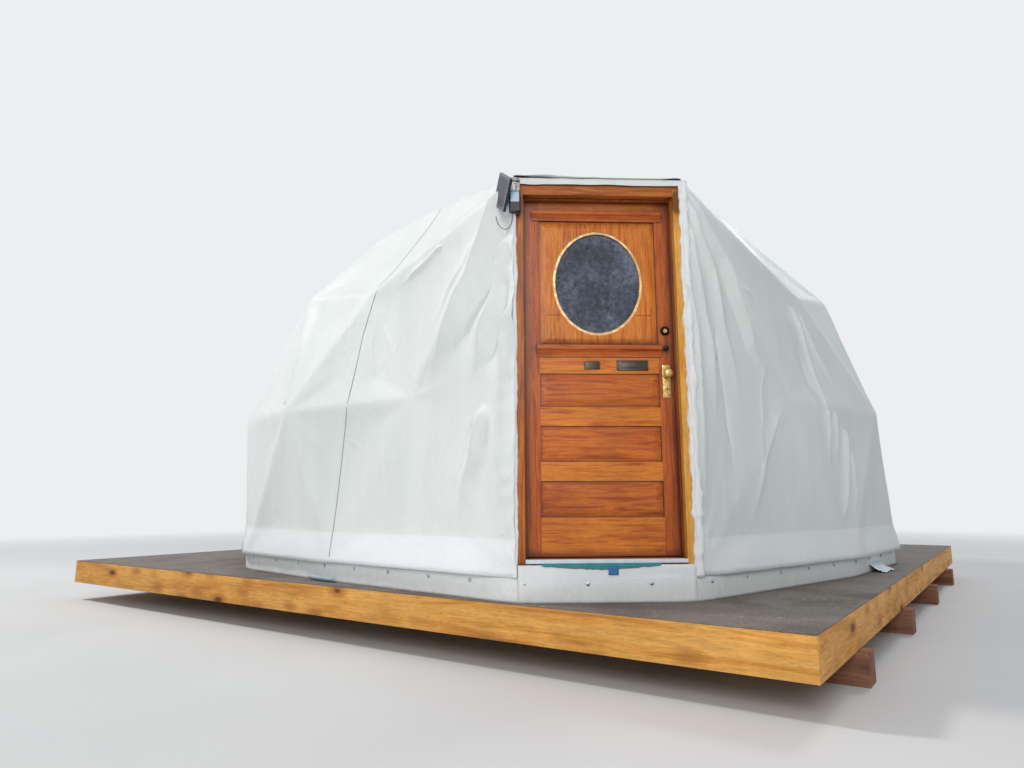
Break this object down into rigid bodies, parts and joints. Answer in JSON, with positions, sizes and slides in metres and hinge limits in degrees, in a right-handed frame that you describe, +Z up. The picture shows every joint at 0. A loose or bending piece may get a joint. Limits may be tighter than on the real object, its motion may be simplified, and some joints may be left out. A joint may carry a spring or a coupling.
{
  "type": "geodesic dome shelter",
  "caption": "Fabric-covered geodesic dome shelter on a square timber deck, with a panelled entrance door that has an oval window.",
  "frame": {"origin": "on the ground under the middle of the dome and of the deck", "axes": "+Z up, the door faces -Y, +X to the right seen from the front"},
  "size_m": [8.8066, 8.8066, 4.0066],
  "materials": {
    "aged_brass": "worn",
    "black_metal": "satin black",
    "cable_jacket": "black",
    "cover_fabric": "matt coated fabric, slightly see-through",
    "felt": "mineral felt",
    "galvanised_steel": "dull zinc",
    "glass": "clear",
    "glass_bead": "pale bead",
    "hinge_steel": "plain",
    "lamp_plastic": "black",
    "oak": "varnished oak",
    "oak_frame": "varnished, worn",
    "pale_pine": "bare",
    "pine": "oiled softwood with knots",
    "plywood": "bare",
    "skirt_fabric": "matt coated fabric",
    "sleeper_timber": "rough reddish timber",
    "solar_cells": "dark cells under glass"
  },
  "bodies": {
    "root": {"base_hubs": "galvanised_steel", "base_ring_struts": "galvanised_steel", "cover_back_left": "cover_fabric", "cover_back_right": "cover_fabric", "cover_crown": "cover_fabric", "cover_left": "cover_fabric", "cover_porch": "cover_fabric", "cover_right": "cover_fabric", "cover_wing_left": "cover_fabric", "cover_wing_right": "cover_fabric", "crown_struts": "galvanised_steel", "deck_felt": "felt", "deck_joists": "pine", "deck_rim": "pine", "deck_sheathing": "plywood", "deck_sleepers": "sleeper_timber", "door_apron": "skirt_fabric", "door_head": "oak_frame", "door_header": "oak_frame", "door_jamb_left": "oak_frame", "door_jamb_right": "pale_pine", "door_stays": "galvanised_steel", "door_stops": "oak_frame", "door_threshold": "oak_frame", "foot_brackets": "galvanised_steel", "frame_hubs": "galvanised_steel", "hinges_frame": "hinge_steel", "lamp_body": "lamp_plastic", "lamp_bracket": "hinge_steel", "lamp_cable": "cable_jacket", "lower_struts": "galvanised_steel", "middle_struts": "galvanised_steel", "skirt_left": "skirt_fabric", "skirt_right": "skirt_fabric", "solar_panel": "solar_cells", "threshold_riser": "pale_pine", "upper_struts": "galvanised_steel"},
    "door": {"door_mouldings": "oak", "door_panels": "oak", "door_plates": "black_metal", "door_rails": "oak", "door_stiles": "oak", "glass_bead": "glass_bead", "handle_set": "aged_brass", "hinges_leaf": "hinge_steel", "lock_cylinders": "black_metal", "oval_glass": "glass", "window_panel": "oak"}
  },
  "joints": [
    {"name": "door_swing", "type": "hinge", "parent": "root", "child": "door", "pos_m": [-0.5515, -3.348, 1.5525], "axis": [0, 0, 1], "range_deg": [0, 90]}
  ]
}
